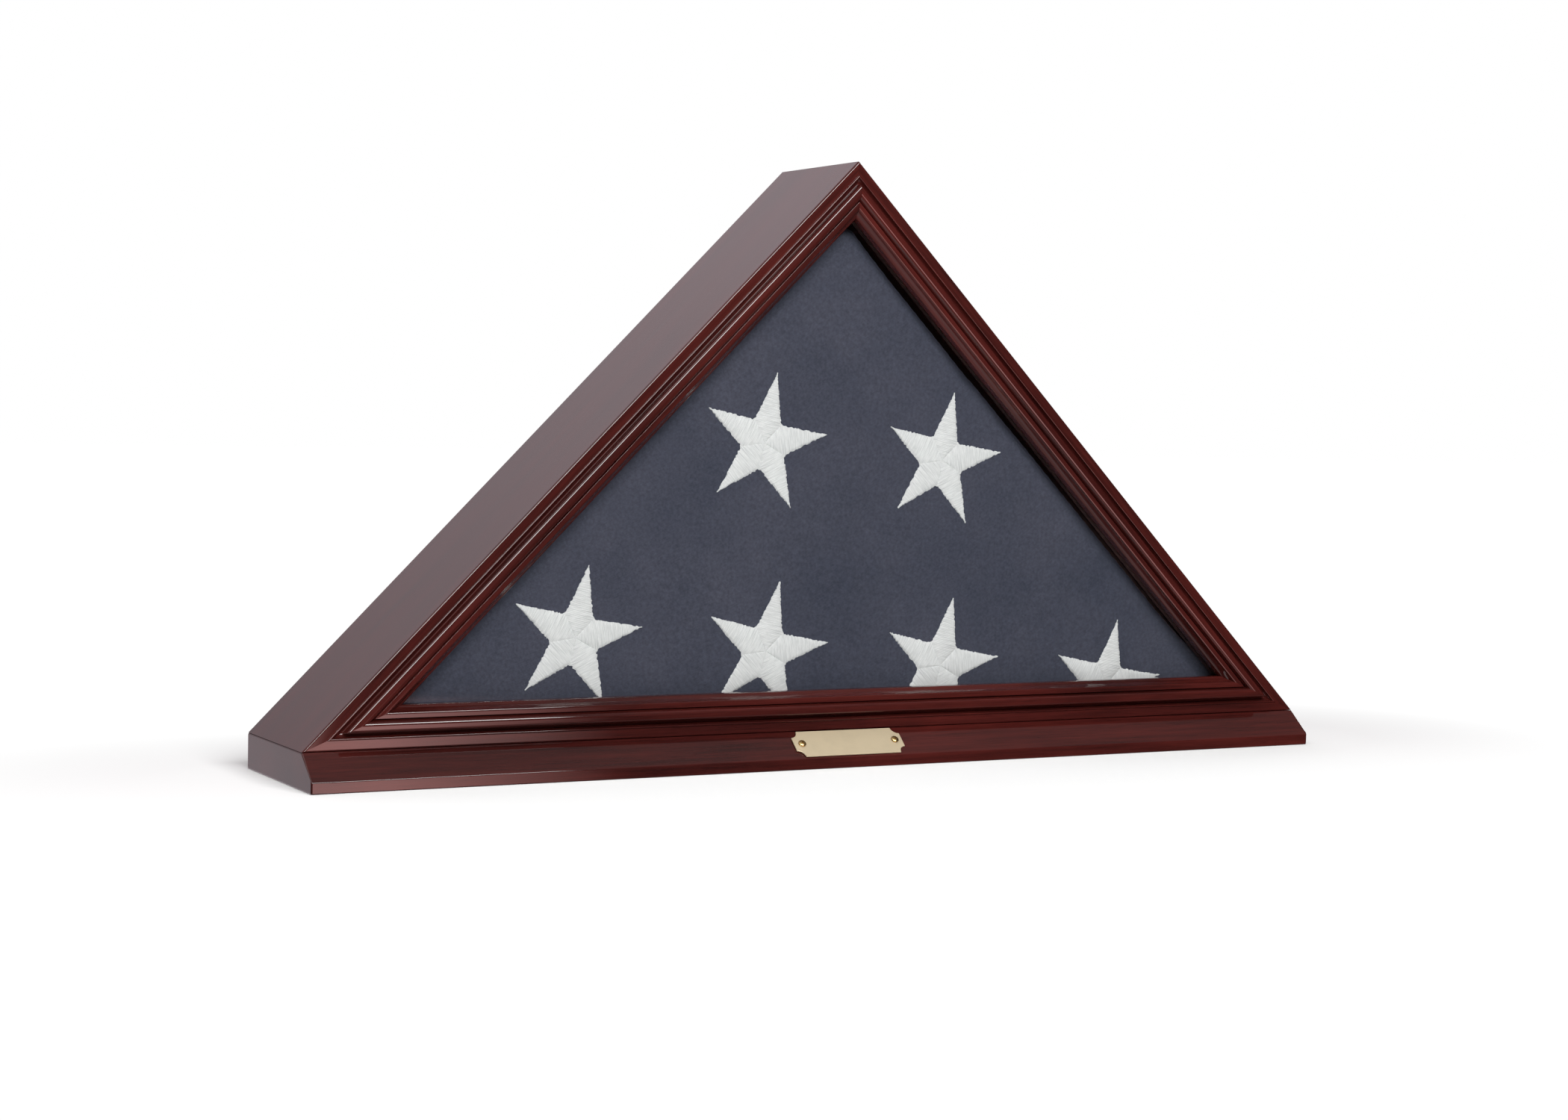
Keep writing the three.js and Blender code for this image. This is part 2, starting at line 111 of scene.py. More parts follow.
APEX = (0, HEIGHT)
LEFT_FOOT = (-WIDTH / 2, PLINTH_THICKNESS)
RIGHT_FOOT = (WIDTH / 2, PLINTH_THICKNESS)
LEFT_RUN = Run(LEFT_FOOT, APEX)
RIGHT_RUN = Run(APEX, RIGHT_FOOT)
BOTTOM_RUN = Run(RIGHT_FOOT, LEFT_FOOT)
SLOPE = math.atan2(HEIGHT - PLINTH_THICKNESS, WIDTH / 2)


def end_cut(half_angle, gap=SEAM):
    """(distance from the corner, distance per millimetre of inset) of a bar's end."""
    return gap / 2 / math.sin(half_angle), 1 / math.tan(half_angle)


FOOT_MITRE = end_cut(SLOPE / 2)
APEX_MITRE = end_cut(math.pi / 2 - SLOPE)
STANDING_CUT = end_cut(SLOPE, 2 * SEAM)


# ---- mesh helpers ----------------------------------------------------------------------------
def new_object(name, mesh_or_bmesh, material):
    if isinstance(mesh_or_bmesh, bmesh.types.BMesh):
        mesh = bpy.data.meshes.new(name)
        mesh_or_bmesh.to_mesh(mesh)
        mesh_or_bmesh.free()
    else:
        mesh = mesh_or_bmesh
    mesh.materials.clear()
    if material:
        mesh.materials.append(material)
    made = bpy.data.objects.new(name, mesh)
    bpy.context.scene.collection.objects.link(made)
    return made


def apply_modifiers(made):
    """Replaces the object's mesh with the result of its modifiers."""
    bpy.context.view_layer.update()
    evaluated = made.evaluated_get(bpy.context.evaluated_depsgraph_get())
    mesh = bpy.data.meshes.new_from_object(evaluated)
    made.modifiers.clear()
    made.data = mesh


def soften(made, degrees=32):
    """Smooth shading that leaves flat faces flat, with edges steeper than the angle kept sharp."""
    mesh = made.data
    shape = bmesh.new()
    shape.from_mesh(mesh)
    bmesh.ops.recalc_face_normals(shape, faces=shape.faces)
    limit = math.radians(degrees)
    for face in shape.faces:
        face.smooth = True
    for edge in shape.edges:
        edge.smooth = len(edge.link_faces) == 2 and edge.calc_face_angle(math.pi) < limit
    shape.to_mesh(mesh)
    shape.free()
    modifier = made.modifiers.new("even", "WEIGHTED_NORMAL")
    modifier.keep_sharp = True
    modifier.weight = 90
    apply_modifiers(made)


def bevel(made, width, segments=3, degrees=40):
    modifier = made.modifiers.new("eased", "BEVEL")
    modifier.width = width * MM
    modifier.segments = segments
    modifier.limit_method = "ANGLE"
    modifier.angle_limit = math.radians(degrees)
    modifier.harden_normals = False
    apply_modifiers(made)


def subtract(made, cutters):
    """Cuts each cutter out of the object and removes the cutters."""
    for cutter in cutters:
        modifier = made.modifiers.new("hole", "BOOLEAN")
        modifier.operation = "DIFFERENCE"
        modifier.solver = "EXACT"
        modifier.object = cutter
        apply_modifiers(made)
        bpy.data.objects.remove(cutter)


def finish_piece(made, body, replaced=()):
    if replaced:
        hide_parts(*replaced)
    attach(made, body)
    return made


def arc(centre, radii, start, end, steps):
    """Points on an ellipse's arc, as (across, behind) pairs; angles in degrees."""
    angles = [math.radians(start + (end - start) * i / steps) for i in range(steps + 1)]
    return [
        (centre[0] + radii[0] * math.cos(a), centre[1] + radii[1] * math.sin(a))
        for a in angles
    ]


def fillet(points, radii, steps=4):
    """A closed outline with its corners rounded; radii gives one radius per corner, 0 for sharp."""
    rounded = []
    for i, corner in enumerate(points):
        here = Vector(corner)
        radius = radii[i]
        if not radius:
            rounded.append(tuple(here))
            continue
        before = (Vector(points[i - 1]) - here).normalized()
        after = (Vector(points[(i + 1) % len(points)]) - here).normalized()
        half = before.angle(after) / 2
        reach = radius / math.tan(half)
        centre = here + (before + after).normalized() * (radius / math.sin(half))
        first, last = here + before * reach - centre, here + after * reach - centre
        for step in range(steps + 1):
            turned = first.normalized().slerp(last.normalized(), step / steps)
            rounded.append(tuple(centre + turned * radius))
    return rounded


def prism(rings):
    """A closed mesh through rings of points, capped at both ends."""
    shape = bmesh.new()
    loops = [[shape.verts.new(p) for p in ring] for ring in rings]
    for near, far in zip(loops, loops[1:]):
        for i in range(len(near)):
            j = (i + 1) % len(near)
            shape.faces.new((near[i], near[j], far[j], far[i]))
    shape.faces.new(loops[0][::-1])
    shape.faces.new(loops[-1])
    return shape


def bar(run, section, start_cut, finish_cut):
    """A bar of the given (inset, behind) section along a run, mitred at both ends."""
    rings = []
    for (offset, per_inset), origin, sign in (
        (start_cut, 0, 1),
        (finish_cut, run.length, -1),
    ):
        rings.append(
            [
                run.place(origin + sign * (offset + per_inset * inset), inset, behind)
                for inset, behind in section
            ]
        )
    return prism(rings)


def lathe(profile, place, direction, segments=40):
    """A turned solid from (radius, height) pairs, standing at a place along a direction."""
    shape = bmesh.new()
    rings = []
    for radius, height in profile:
        if radius == 0:
            rings.append([shape.verts.new((0, 0, height * MM))])
            continue
        rings.append(
            [
                shape.verts.new(
                    (
                        radius * MM * math.cos(2 * math.pi * k / segments),
                        radius * MM * math.sin(2 * math.pi * k / segments),
                        height * MM,
                    )
                )
                for k in range(segments)
            ]
        )
    for near, far in zip(rings, rings[1:]):
        for k in range(segments):
            corners = [near[k % len(near)], near[(k + 1) % len(near)]]
            corners += [far[(k + 1) % len(far)], far[k % len(far)]]
            corners = list(dict.fromkeys(corners))
            if len(corners) > 2:
                shape.faces.new(corners)
    turn = Vector(direction).to_track_quat("Z", "X").to_matrix().to_4x4()
    shape.transform(Matrix.Translation(place) @ turn)
    bmesh.ops.recalc_face_normals(shape, faces=shape.faces)
    return shape


# ---- node helpers ----------------------------------------------------------------------------
def node(tree, kind, inputs=None, **settings):
    """A node with its settings; each input is a value or another node's output."""
    made = tree.nodes.new(kind)
    for key, value in settings.items():
        setattr(made, key, value)
    for key, value in (inputs or {}).items():
        if isinstance(value, bpy.types.NodeSocket):
            tree.links.new(value, made.inputs[key])
        else:
            made.inputs[key].default_value = value
    return made


def new_material(name):
    material = bpy.data.materials.new(name)
    material.use_nodes = True
    material.node_tree.nodes.clear()
    return material, material.node_tree


def surface(tree, shader):
    node(tree, "ShaderNodeOutputMaterial", {"Surface": shader})


def mapped(tree, scale, turn_y=0.0):
    """Object coordinates, turned about Y and then scaled."""
    place = node(tree, "ShaderNodeTexCoord").outputs["Object"]
    turned = node(
        tree, "ShaderNodeMapping", {"Vector": place, "Rotation": (0, turn_y, 0)}
    ).outputs["Vector"]
    return node(
        tree, "ShaderNodeMapping", {"Vector": turned, "Scale": scale}
    ).outputs["Vector"]


def noise_value(tree, vector, scale, detail=4.0, roughness=0.55, distortion=0.0):
    return node(
        tree,
        "ShaderNodeTexNoise",
        {
            "Vector": vector,
            "Scale": scale,
            "Detail": detail,
            "Roughness": roughness,
            "Distortion": distortion,
        },
    ).outputs["Fac"]


def ramp(tree, factor, stops):
    """A colour ramp; stops are (position, colour)."""
    made = node(tree, "ShaderNodeValToRGB", {"Fac": factor})
    elements = made.color_ramp.elements
    while len(elements) < len(stops):
        elements.new(0.5)
    for element, (position, color) in zip(elements, stops):
        element.position = position
        element.color = (*color, 1)
    return made.outputs["Color"]


def span(tree, value, low, high, new_low, new_high, smooth=False):
    return node(
        tree,
        "ShaderNodeMapRange",
        {
            "Value": value,
            "From Min": low,
            "From Max": high,
            "To Min": new_low,
            "To Max": new_high,
        },
        interpolation_type="SMOOTHSTEP" if smooth else "LINEAR",
    ).outputs["Result"]


def math_node(tree, operation, a, b=0.0):
    made = node(tree, "ShaderNodeMath", {0: a, 1: b}, operation=operation)
    return made.outputs["Value"]


def mix_colors(tree, factor, a, b, blend="MIX"):
    made = node(
        tree, "ShaderNodeMix", {0: factor, 6: a, 7: b}, data_type="RGBA", blend_type=blend
    )
    return made.outputs[2]


def bump(tree, height, strength, distance_mm, normal=None):
    inputs = {"Height": height, "Strength": strength, "Distance": distance_mm * MM}
    if normal:
        inputs["Normal"] = normal
    return node(tree, "ShaderNodeBump", inputs).outputs["Normal"]


def principled(tree, inputs):
    return node(tree, "ShaderNodeBsdfPrincipled", inputs).outputs["BSDF"]


# ---- materials -------------------------------------------------------------------------------
MAHOGANY_DARK = (0.019, 0.0034, 0.0030)
MAHOGANY = (0.042, 0.0062, 0.0050)
MAHOGANY_LIGHT = (0.070, 0.0100, 0.0078)


def lacquered_wood(name, turn_y):
    """Dark mahogany under clear lacquer, its grain along X before the turn about Y."""
    material, tree = new_material(name)
    figure = noise_value(tree, mapped(tree, (5, 42, 42), turn_y), 1.0, 5, 0.6, 0.6)
    streaks = noise_value(tree, mapped(tree, (14, 420, 420), turn_y), 1.0, 6, 0.65)
    pores = noise_value(tree, mapped(tree, (60, 1900, 1900), turn_y), 1.0, 2, 0.5)
    drift = noise_value(tree, mapped(tree, (3.5, 9, 9), turn_y), 1.0, 2, 0.5)
    grain = math_node(tree, "ADD", math_node(tree, "MULTIPLY", figure, 0.55),
                      math_node(tree, "MULTIPLY", streaks, 0.45))
    color = ramp(tree, grain, [(0.34, MAHOGANY_DARK), (0.5, MAHOGANY), (0.68, MAHOGANY_LIGHT)])
    tone = span(tree, drift, 0.3, 0.7, 0.72, 1.18)
    pore_tone = span(tree, pores, 0.36, 0.46, 0.8, 1.0)
    shade = math_node(tree, "MULTIPLY", tone, pore_tone)
    shade = node(tree, "ShaderNodeCombineColor", {0: shade, 1: shade, 2: shade}).outputs[0]
    color = mix_colors(tree, 1.0, color, shade, "MULTIPLY")
    roughness = span(tree, streaks, 0.3, 0.7, 0.42, 0.56)
    ripple = noise_value(tree, mapped(tree, (6, 150, 150), turn_y), 1.0, 3, 0.5)
    lacquer = bump(tree, ripple, 0.08, 0.02)
    under = bump(tree, streaks, 0.25, 0.012)
    surface(
        tree,
        principled(
            tree,
            {
                "Base Color": color,
                "Roughness": roughness,
                "Specular IOR Level": 0.04,
                "Coat Weight": 1.0,
                "Coat Roughness": 0.045,
                "Coat IOR": 1.5,
                "Normal": under,
                "Coat Normal": lacquer,
            },
        ),
    )
    return material


def stained_wood():
    material, tree = new_material("stained_wood")
    grain = noise_value(tree, mapped(tree, (30, 260, 260)), 1.0, 6, 0.6)
    color = ramp(tree, grain, [(0.3, (0.010, 0.004, 0.003)), (0.7, (0.045, 0.017, 0.011))])
    surface(
        tree,
        principled(
            tree,
            {
                "Base Color": color,
                "Roughness": span(tree, grain, 0.3, 0.7, 0.6, 0.8),
                "Normal": bump(tree, grain, 0.4, 0.05),
            },
        ),
    )
    return material


GLASS_REFLECTANCE = 0.035  # of each face, seen squarely


def clear_glass():
    """Thin clear glass: what is behind shows through, with a mirror-like reflection over it."""
    material, tree = new_material("clear_glass")
    smears = noise_value(tree, mapped(tree, (9, 9, 9)), 1.0, 3, 0.5)
    clear = node(
        tree,
        "ShaderNodeBsdfTransparent",
        {"Color": ramp(tree, smears, [(0.3, (0.955, 0.962, 0.958)), (0.7, (0.965, 0.972, 0.968))])},
    ).outputs["BSDF"]
    mirror = node(
        tree,
        "ShaderNodeBsdfGlossy",
        {"Color": (1, 1, 1, 1), "Roughness": span(tree, smears, 0.3, 0.7, 0.01, 0.03)},
    ).outputs["BSDF"]
    facing = node(tree, "ShaderNodeLayerWeight", {"Blend": 0.5}).outputs["Facing"]
    share = span(tree, math_node(tree, "POWER", facing, 5.0), 0, 1, GLASS_REFLECTANCE, 1)
    surface(
        tree, node(tree, "ShaderNodeMixShader", {0: share, 1: clear, 2: mirror}).outputs["Shader"]
    )
    return material


FLAG_BLUE_DARK = (0.032, 0.036, 0.055)
FLAG_BLUE_LIGHT = (0.056, 0.057, 0.079)
WEAVE_PITCH = 0.55


def weave_height(tree, pitch, turn_y=0.0):
    """Plain weave in the X-Z plane: raised crossings one pitch apart."""
    scale = 0.1 * math.pi / (pitch * MM)
    place = mapped(tree, (1, 1, 1), turn_y)
    waves = [
        node(
            tree,
            "ShaderNodeTexWave",
            {"Vector": place, "Scale": scale, "Distortion": 0.4, "Detail": 1.0, "Detail Scale": 2.0},
            wave_type="BANDS",
            bands_direction=direction,
        ).outputs["Fac"]
        for direction in ("X", "Z")
    ]
    return math_node(tree, "MULTIPLY", *waves)


def flag_cloth():
    material, tree = new_material("flag_cloth")
    weave = weave_height(tree, WEAVE_PITCH, math.radians(STAR_TILT))
    mottle = noise_value(tree, mapped(tree, (1, 1, 1)), 14.0, 6, 0.65)
    slub = noise_value(
        tree, mapped(tree, (60, 400, 900), math.radians(STAR_TILT)), 1.0, 3, 0.6
    )
    tone = math_node(
        tree,
        "ADD",
        math_node(tree, "MULTIPLY", mottle, 0.7),
        math_node(tree, "MULTIPLY", slub, 0.3),
    )
    color = ramp(tree, tone, [(0.32, FLAG_BLUE_DARK), (0.68, FLAG_BLUE_LIGHT)])
    fuzz = noise_value(tree, mapped(tree, (1, 1, 1)), 520.0, 3, 0.7)
    # Painted shade in the weave: colour darker between the raised crossings and lighter on them,
    # multiplied by a random fuzz tone.
    painted_thread_shade = math_node(
        tree,
        "MULTIPLY",
        span(tree, weave, 0.0, 1.0, 0.82, 1.12),
        span(tree, fuzz, 0.3, 0.7, 0.78, 1.22),
    )
    painted_thread_shade = node(tree, "ShaderNodeCombineColor", {0: painted_thread_shade, 1: painted_thread_shade, 2: painted_thread_shade}).outputs[0]
    color = mix_colors(tree, 1.0, color, painted_thread_shade, "MULTIPLY")
    surface(
        tree,
        principled(
            tree,
            {
                "Base Color": color,
                "Roughness": span(tree, slub, 0.3, 0.7, 0.82, 0.95),
                "Specular IOR Level": 0.25,
                "Sheen Weight": 0.12,
                "Sheen Roughness": 0.5,
                "Sheen Tint": (0.6, 0.68, 1.0, 1),
                "Normal": bump(tree, weave, 0.5, 0.12, bump(tree, mottle, 0.5, 1.4)),
            },
        ),
    )
    return material


STITCH_PITCH = 0.6


def star_thread():
    """White satin stitch: the threads lie across each arm, given by the UV map."""
    material, tree = new_material("star_thread")
    place = node(tree, "ShaderNodeUVMap", uv_map="stitch").outputs["UV"]
    rows = node(
        tree,
        "ShaderNodeTexWave",
        {
            "Vector": place,
            "Scale": 0.1 * math.pi / STITCH_PITCH,
            "Distortion": 0.9,
            "Detail": 2.0,
            "Detail Scale": 0.6,
        },
        wave_type="BANDS",
        bands_direction="Y",
    ).outputs["Fac"]
    stretched = node(
        tree, "ShaderNodeMapping", {"Vector": place, "Scale": (0.12, 1.6, 1)}
    ).outputs["Vector"]
    threads = noise_value(tree, stretched, 1.0, 4, 0.6)
    color = ramp(tree, threads, [(0.3, (0.50, 0.505, 0.51)), (0.65, (0.73, 0.73, 0.725))])
    # Painted shade between the rows of stitches: the colour darkens in the grooves between rows.
    painted_thread_shade = span(tree, rows, 0.0, 0.5, 0.9, 1.0)
    painted_thread_shade = node(tree, "ShaderNodeCombineColor", {0: painted_thread_shade, 1: painted_thread_shade, 2: painted_thread_shade}).outputs[0]
    color = mix_colors(tree, 1.0, color, painted_thread_shade, "MULTIPLY")
    height = math_node(tree, "ADD", rows, math_node(tree, "MULTIPLY", threads, 1.2))
    surface(
        tree,
        principled(
            tree,
            {
                "Base Color": color,
                "Roughness": span(tree, threads, 0.3, 0.7, 0.42, 0.6),
                "Specular IOR Level": 0.4,
                "Sheen Weight": 0.15,
                "Normal": bump(tree, height, 0.9, 0.16),
            },
        ),
    )
    return material


def hardboard():
    """Smooth dark hardboard with short fibres showing in it."""
    material, tree = new_material("back_board")
    fibres = noise_value(tree, mapped(tree, (420, 420, 90), math.radians(25)), 1.0, 6, 0.7, 1.2)
    blotches = noise_value(tree, mapped(tree, (14, 14, 14)), 1.0, 4, 0.6)
    base = ramp(tree, blotches, [(0.3, (0.021, 0.013, 0.010)), (0.7, (0.036, 0.023, 0.017))])
    flecks = ramp(tree, fibres, [(0.56, (0.6, 0.6, 0.6)), (0.72, (2.4, 2.2, 2.0))])
    color = mix_colors(tree, 1.0, base, flecks, "MULTIPLY")
    surface(
        tree,
        principled(
            tree,
            {
                "Base Color": color,
                "Roughness": span(tree, blotches, 0.3, 0.7, 0.55, 0.75),
                "Normal": bump(tree, fibres, 0.35, 0.08),
            },
        ),
    )
    return material


def metal(name, color, roughness, brush, turn_y=0.0, spots=0.35, metallic=1.0):
    """Brushed metal, its fine scratches along X before the turn, and faint spots of tarnish."""
    material, tree = new_material(name)
    scratches = noise_value(tree, mapped(tree, brush, turn_y), 1.0, 5, 0.7)
    tarnish = noise_value(tree, mapped(tree, (120, 120, 120)), 1.0, 4, 0.6)
    dulled = tuple(c * (1 - spots) for c in color)
    tint = ramp(tree, tarnish, [(0.25, dulled), (0.55, color)])
    low, high = roughness
    surface(
        tree,
        principled(
            tree,
            {
                "Base Color": tint,
                "Metallic": metallic,
                "Roughness": span(tree, scratches, 0.3, 0.7, low, high),
                "Normal": bump(tree, scratches, 0.25, 0.01),
            },
        ),
    )
    return material


WOOD_LEFT = lacquered_wood("lacquered_wood_left", SLOPE)
WOOD_RIGHT = lacquered_wood("lacquered_wood_right", -SLOPE)
WOOD_LEVEL = lacquered_wood("lacquered_wood_level", 0.0)
STAINED = stained_wood()
GLASS = clear_glass()
CLOTH = flag_cloth()
THREAD = star_thread()
BOARD = hardboard()
PLATE_BRASS = metal(
    "plate_brass", (0.64, 0.53, 0.36), (0.30, 0.42), (40, 900, 2600), spots=0.06, metallic=0.45
)
BRASS = metal("brass", (0.72, 0.50, 0.22), (0.22, 0.36), (300, 300, 300))
STEEL = metal("zinc_steel", (0.52, 0.53, 0.52), (0.28, 0.45), (300, 300, 300))


# ---- the moulded frame -----------------------------------------------------------------------
# Outer edge to sight edge: eased arris, flat band, fine bead, quirk, raised torus, fillet, cove.
MOULDING = [
    *arc([ARRIS, ARRIS], [ARRIS, ARRIS], 180, 270, 6),
    (5.2, 0),
    *arc([5.85, 0], [0.6, 0.7], 185, 355, 8),
    (6.7, 0.9),
    (8.3, 1.9),
    (9.0, 1.9),
    (9.12, -1.5),
    *arc([10.6, -1.75], [1.5, 1.5], 190, 266, 9),
    *arc([12.2, -0.5], [2.8, 2.95], 268, 350, 12),
    (15.2, 0.4),
    (15.5, -1.05),
    (15.75, -1.2),
    (17.8, -1.2),
    *arc([17.8, 0.0], [1.2, 1.2], 278, 350, 6),
    (20.2, 1.35),
    (21.3, 2.05),
    (21.8, 2.3),
    (SIGHT_INSET, SIGHT_SETBACK),
]
RAIL_BACK_STEP = [
    (SIGHT_INSET, REBATE_DEPTH),
    (REBATE_INSET, REBATE_DEPTH),
    (REBATE_INSET, RAIL_DEPTH),
]
MITRED_RAIL = [*MOULDING, *RAIL_BACK_STEP, (RAIL_DEPTH - ARRIS, RAIL_DEPTH)]
SQUARE_RAIL = [*MOULDING, *RAIL_BACK_STEP, (0, RAIL_DEPTH)]
RAIL_SMOOTHING = 50


def frame_rail(side, run, section, start_cut, finish_cut, material, lift=0.0):
    shape = bar(run, section, start_cut, finish_cut)
    bmesh.ops.translate(shape, verts=shape.verts, vec=(0, 0, lift * MM))
    rail = new_object(f"moulded_rail_{side}", shape, material)
    soften(rail, RAIL_SMOOTHING)
    return finish_piece(rail, "case", [f"frame_rail_{side}"])


frame_rail("left", LEFT_RUN, MITRED_RAIL, FOOT_MITRE, APEX_MITRE, WOOD_LEFT)
frame_rail("right", RIGHT_RUN, MITRED_RAIL, APEX_MITRE, FOOT_MITRE, WOOD_RIGHT)
frame_rail("bottom", BOTTOM_RUN, SQUARE_RAIL, FOOT_MITRE, FOOT_MITRE, WOOD_LEVEL, SEAM)


# ---- screws ----------------------------------------------------------------------------------
def recess_cutters(place, direction, reach, width, depth):
    """Two crossed, tapering blades: what a cross driver leaves in a screw head."""
    turn = Vector(direction).to_track_quat("Z", "X").to_matrix().to_4x4()
    cutters = []
    for quarter in (0, 90):
        shape = bmesh.new()
        bmesh.ops.create_cube(shape, size=2.0)
        for vert in shape.verts:
            low = vert.co.z < 0
            vert.co.x *= reach * MM * (0.35 if low else 1)
            vert.co.y *= width * MM * (0.5 if low else 1)
            vert.co.z = -depth * MM if low else depth * MM
        spin = Matrix.Rotation(math.radians(quarter + 20), 4, "Z")
        shape.transform(Matrix.Translation(place) @ turn @ spin)
        bmesh.ops.recalc_face_normals(shape, faces=shape.faces)
        cutters.append(new_object("cutter", shape, None))
    return cutters


def screw(name, node_name, profile, place, direction, top, head, material):
    """A turned screw with a cross recess in its head; top is the head's highest point."""
    made = new_object(name, lathe(profile, place, direction), material)
    tip = Vector(place) + Vector(direction) * top * MM
    subtract(made, recess_cutters(tip, direction, head * 0.6, head * 0.13, head * 0.42))
    soften(made, 38)
    return finish_piece(made, "case", [node_name])


def domed_profile(shank, head, height, length):
    dome = [
        (head * math.cos(a), height * (0.25 + 0.75 * math.sin(a)))
        for a in (math.radians(d) for d in range(0, 90, 12))
    ]
    return [(0, -length), (shank, -length + 2 * shank), (shank, 0), (head * 0.96, 0), *dome,
            (0, height)]


def node_top(node_name, direction):
    """The point where a CAD node ends along a direction, on the line through its middle."""
    points = [v.co for v in nodes[node_name].data.vertices]
    axis = Vector(direction)
    middle = sum(points, Vector()) / len(points)
    reach = max(p.dot(axis) for p in points)
    return middle + axis * (reach - middle.dot(axis))


BACKWARDS = Vector((0, 1, 0))
SLOPE_START = Vector((0, plinth_low.y, LIP_HEIGHT * MM))
SLOPE_END = Vector((0, FACE_Y * MM, PLINTH_THICKNESS * MM))
SLOPE_UP = (SLOPE_END - SLOPE_START).normalized()
SLOPE_OUT = Vector((0, -SLOPE_UP.z, SLOPE_UP.y))

BUTTON_SCREW = {"shank": 1.5, "head": 3.1, "height": 1.5, "length": 13}
PLATE_SCREW = {"shank": 0.9, "head": 2.2, "height": 1.1, "length": 8}
BASE_SCREW_HEAD = 3.9

for number in range(1, 7):
    cad_name = f"turn_button_screw_{number}"
    seat = node_top(cad_name, BACKWARDS) - BACKWARDS * BUTTON_SCREW["height"] * MM
    screw(
        f"button_screw_{number}", cad_name, domed_profile(**BUTTON_SCREW), seat, BACKWARDS,
        BUTTON_SCREW["height"], BUTTON_SCREW["head"], BRASS,
    )

for side in ("left", "right"):
    cad_name = f"nameplate_screw_{side}"
    seat = node_top(cad_name, SLOPE_OUT) - SLOPE_OUT * PLATE_SCREW["height"] * MM
    screw(
        f"plate_screw_{side}", cad_name, domed_profile(**PLATE_SCREW), seat, SLOPE_OUT,
        PLATE_SCREW["height"], PLATE_SCREW["head"], BRASS,
    )

DOWNWARDS = Vector((0, 0, -1))
BASE_SCREWS = [n for n in nodes if n.startswith("base_screw_")]
BASE_SCREW_PROFILE = [(0, -27.2), (1.7, -23.8), (1.7, -2.6), (BASE_SCREW_HEAD, -0.15),
                      (BASE_SCREW_HEAD - 0.15, 0), (0, 0)]
for cad_name in BASE_SCREWS:
    screw(
        cad_name.replace("base", "foot"), cad_name, BASE_SCREW_PROFILE,
        node_top(cad_name, DOWNWARDS), DOWNWARDS, 0, BASE_SCREW_HEAD, STEEL,
    )


# ---- boards ----------------------------------------------------------------------------------
def hole_cutters(node_names, radius, direction, over, under):
    """Round holes for the screws, wider than their shanks, from over the head to past the tip."""
    cutters = []
    for node_name in node_names:
        top = node_top(node_name, direction)
        profile = [(0, -under), (radius, -under), (radius, over), (0, over)]
        cutters.append(new_object("cutter", lathe(profile, top, direction, 24), None))
    return cutters


def side_board(side, run, start_cut, finish_cut, material, buttons):
    front = ARRIS + SEAM
    section = [
        (0, front),
        (RAIL_DEPTH + SEAM - front, RAIL_DEPTH + SEAM),
        (BOARD_THICKNESS, RAIL_DEPTH + SEAM),
        (BOARD_THICKNESS, BODY_DEPTH - PANEL_REBATE_DEPTH),
        (BACK_EDGE, BODY_DEPTH - PANEL_REBATE_DEPTH),
        (BACK_EDGE, BODY_DEPTH),
        (0, BODY_DEPTH),
    ]
    outline = fillet(section, [0.15, 0, 0, 0.4, 0, 0.5, ARRIS])
    board = new_object(f"case_side_{side}", bar(run, outline, start_cut, finish_cut), material)
    rail_space = [(-1, -5), (SIGHT_INSET + SEAM, -5), (SIGHT_INSET + SEAM, RAIL_DEPTH + SEAM),
                  (-1, RAIL_DEPTH + SEAM)]
    notch = new_object("cutter", bar(BOTTOM_RUN, rail_space, *[end_cut(SLOPE / 2, -SEAM)] * 2), None)
    screws = [f"turn_button_screw_{n}" for n in buttons]
    subtract(board, [notch, *hole_cutters(screws, 1.8, BACKWARDS, 5, 16.5)])
    soften(board)
    return finish_piece(board, "case", [f"side_board_{side}"])


side_board("left", LEFT_RUN, STANDING_CUT, APEX_MITRE, WOOD_LEFT, (1, 2))
side_board("right", RIGHT_RUN, APEX_MITRE, STANDING_CUT, WOOD_RIGHT, (3, 4))


def plinth():
    lip_y = FACE_Y - LIP_PROJECTION
    profile = [(lip_y, 0), (BACK_Y, 0), (BACK_Y, PLINTH_THICKNESS), (FACE_Y, PLINTH_THICKNESS),
               (lip_y, LIP_HEIGHT)]
    outline = fillet(profile, [0.7, 0.7, 0.7, 0.5, 0.9], 5)
    ease = 0.9
    rings = []
    middle = Vector(((lip_y + BACK_Y) / 2, PLINTH_THICKNESS / 2))
    turns = [math.radians(90 * k / 4) for k in range(5)]
    for side in (-1, 1):
        ends = []
        for turn in turns:
            pull = ease * (1 - math.sin(turn))
            x = side * (WIDTH / 2 - ease * (1 - math.cos(turn)))
            ends.append((x, pull))
        rings += ends[::-1] if side > 0 else ends
    loops = []
    for x, pull in rings:
        loops.append(
            [
                Vector((x, y + math.copysign(min(pull, abs(middle.x - y)), middle.x - y),
                        z + math.copysign(min(pull, abs(middle.y - z)), middle.y - z))) * MM
                for y, z in outline
            ]
        )
    board = new_object("plinth", prism(loops), WOOD_LEVEL)
    cutters = hole_cutters([f"turn_button_screw_{n}" for n in (5, 6)], 1.8, BACKWARDS, 5, 16.5)
    cutters += hole_cutters(["nameplate_screw_left", "nameplate_screw_right"], 1.2, SLOPE_OUT, 5, 10)
    for cad_name in BASE_SCREWS:
        top = node_top(cad_name, DOWNWARDS)
        countersink = [(0, -3.0), (2.0, -3.0), (BASE_SCREW_HEAD + 0.3, -0.3),
                       (BASE_SCREW_HEAD + 0.3, 2), (0, 2)]
        cutters.append(new_object("cutter", lathe(countersink, top, DOWNWARDS), None))
    subtract(board, cutters)
    soften(board)
    return finish_piece(board, "case", ["plinth_board"])


plinth()


